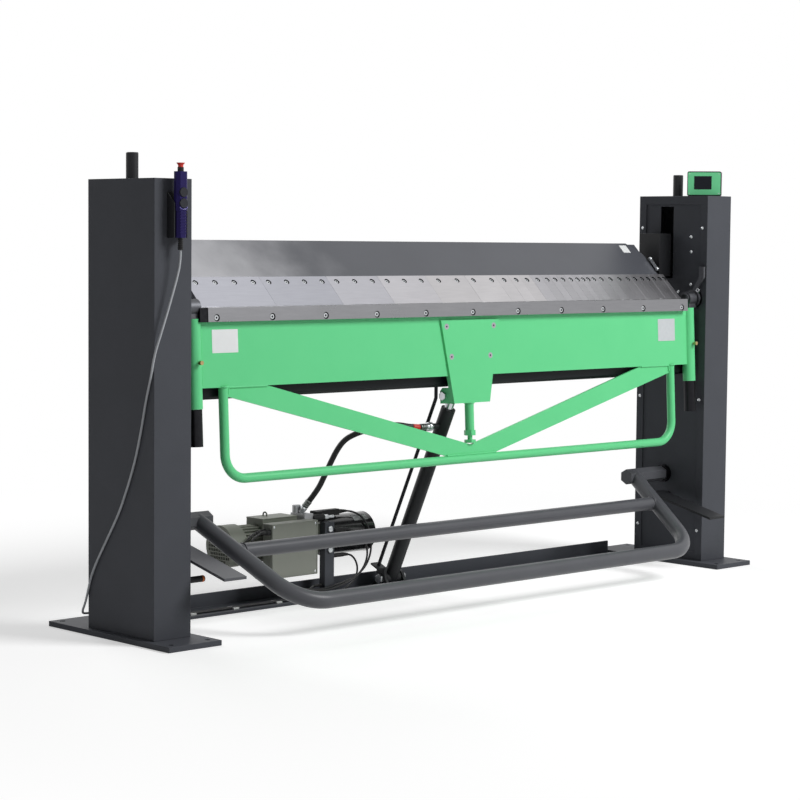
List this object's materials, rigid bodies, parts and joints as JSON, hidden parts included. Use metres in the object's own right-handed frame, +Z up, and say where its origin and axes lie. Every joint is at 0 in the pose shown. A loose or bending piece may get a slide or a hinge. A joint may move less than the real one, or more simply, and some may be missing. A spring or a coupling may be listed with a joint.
{
  "type": "hydraulic sheet metal folding machine",
  "caption": "Floor-standing hydraulic sheet folder: two columns, fixed lower beam, segmented clamping beam, swinging folding beam, foot bar, pedals, pendant and power pack.",
  "frame": {"origin": "on the floor at the middle of the footprint, 134 mm behind the columns' front faces", "axes": "+Z up, +X along the bend line to the operator's right, +Y away from the operator"},
  "size_m": [2.502, 0.6445, 1.339],
  "materials": {
    "column_paint": "satin dark grey paint",
    "green_paint": "satin green paint",
    "ground_steel": "ground steel",
    "blade_steel": "ground steel",
    "black_steel": "black oxide",
    "bright_steel": "zinc plated",
    "lever_steel": "polished",
    "brass": "satin",
    "pump_paint": "grey gloss paint",
    "tank_paint": "black gloss paint",
    "aluminium": "cast",
    "black_plastic": "matt",
    "hose_rubber": "matt",
    "grey_cable": "matt",
    "white_plastic": "matt",
    "violet_plastic": "satin",
    "red_plastic": "gloss",
    "display_green": "printed film",
    "screen_glass": "glossy screen",
    "matte_fan": "matt"
  },
  "bodies": {
    "frame": {"left_column": "column_paint", "right_column": "column_paint", "column_covers": "column_paint", "cover_screws": "bright_steel", "foot_plates": "column_paint", "base_channel": "column_paint", "lower_beam": "column_paint", "lower_blade": "ground_steel", "side_pins": "bright_steel", "cable_plugs": "black_plastic", "cylinder_clevis": "column_paint", "frame_bolts": "bright_steel", "tie_rod": "black_steel", "motor_body": "pump_paint", "fan_cowl": "pump_paint", "pump_manifold": "pump_paint", "pump_post": "column_paint", "oil_tank": "tank_paint", "control_box": "pump_paint", "box_lid": "pump_paint", "hydraulic_hose": "hose_rubber", "valve_block": "aluminium", "valve_cable": "black_plastic", "upper_plug_cable": "black_plastic", "lower_plug_cable": "black_plastic", "feed_cable": "black_plastic", "cable_clips": "white_plastic", "pendant_body": "violet_plastic", "pendant_rings": "black_plastic", "pendant_holder": "black_steel", "pendant_cable": "grey_cable", "display_case": "black_plastic", "display_front": "display_green", "display_screen": "screen_glass"},
    "folding_beam": {"folding_blade": "ground_steel", "blade_bar": "black_steel", "folding_bolts": "bright_steel", "folding_plate": "green_paint", "folding_rods": "green_paint", "thumb_screws": "brass", "hinge_barrels": "black_steel", "centre_bracket": "green_paint", "handle_frame": "green_paint"},
    "top_beam": {"clamping_segments": "blade_steel", "segment_bolts": "bright_steel", "top_beam": "column_paint", "top_plate": "column_paint", "beam_carriers": "column_paint", "lift_rods": "black_steel"},
    "cylinder_barrel": {"cylinder_barrel": "tank_paint"},
    "cylinder_rod": {"cylinder_rod": "lever_steel"},
    "foot_bar": {"foot_bar": "column_paint"},
    "left_pedal": {"left_pedal": "column_paint"},
    "right_pedal": {"right_pedal": "column_paint"},
    "up_button": {"up_button": "black_plastic"},
    "down_button": {"down_button": "black_plastic"},
    "stop_button": {"stop_button": "red_plastic"},
    "hinge_lever": {"hinge_lever": "black_steel"},
    "motor_fan": {"motor_fan": "matte_fan"}
  },
  "joints": [
    {"name": "folding_hinge", "type": "hinge", "parent": "frame", "child": "folding_beam", "pos_m": [0, -0.086, 0.908], "axis": [-1, 0, 0], "range_deg": [0, 132]},
    {"name": "clamping_slide", "type": "slide", "parent": "frame", "child": "top_beam", "axis": [0, 0, 1], "range_m": [0, 0.07]},
    {"name": "foot_bar_hinge", "type": "hinge", "parent": "frame", "child": "foot_bar", "pos_m": [0, 0.037, 0.303], "axis": [-1, 0, 0], "range_deg": [0, 30]},
    {"name": "cylinder_hinge", "type": "hinge", "parent": "frame", "child": "cylinder_barrel", "pos_m": [-0.04, 0.198, 0.034], "axis": [1, 0, 0], "range_deg": [0, 11.5], "deforming": ["hydraulic_hose"]},
    {"name": "cylinder_slide", "type": "slide", "parent": "cylinder_barrel", "child": "cylinder_rod", "axis": [0, -0.4155, 0.9096], "range_m": [0, 0.52]},
    {"name": "left_pedal_hinge", "type": "hinge", "parent": "frame", "child": "left_pedal", "pos_m": [-1.04, 0.016, 0.234], "axis": [1, 0, 0], "range_deg": [0, 6], "stiffness_Nm_per_rad": 20, "springref_deg": -8.59},
    {"name": "right_pedal_hinge", "type": "hinge", "parent": "frame", "child": "right_pedal", "pos_m": [1.04, 0.016, 0.234], "axis": [1, 0, 0], "range_deg": [0, 6], "stiffness_Nm_per_rad": 20, "springref_deg": -8.59},
    {"name": "up_button_slide", "type": "slide", "parent": "frame", "child": "up_button", "axis": [0, 1, 0], "range_m": [0, 0.003], "stiffness_N_per_m": 600, "springref_m": -0.001},
    {"name": "down_button_slide", "type": "slide", "parent": "frame", "child": "down_button", "axis": [0, 1, 0], "range_m": [0, 0.003], "stiffness_N_per_m": 600, "springref_m": -0.001},
    {"name": "stop_button_slide", "type": "slide", "parent": "frame", "child": "stop_button", "axis": [0, 0, -1], "range_m": [0, 0.004], "stiffness_N_per_m": 900, "springref_m": -0.001},
    {"name": "lever_hinge", "type": "hinge", "parent": "frame", "child": "hinge_lever", "pos_m": [1.0915, -0.086, 0.908], "axis": [1, 0, 0], "range_deg": [-15, 15]},
    {"name": "fan_spin", "type": "hinge", "parent": "frame", "child": "motor_fan", "pos_m": [-0.66, 0.251, 0.183], "axis": [1, 0, 0], "continuous": true}
  ],
  "couplings": [
    {"joint": "foot_bar_hinge", "follows": "clamping_slide", "rad_per_m": 7.4},
    {"joint": "cylinder_hinge", "follows": "folding_hinge", "ratio": 0.02},
    {"joint": "cylinder_slide", "follows": "folding_hinge", "m_per_rad": 0.198}
  ]
}
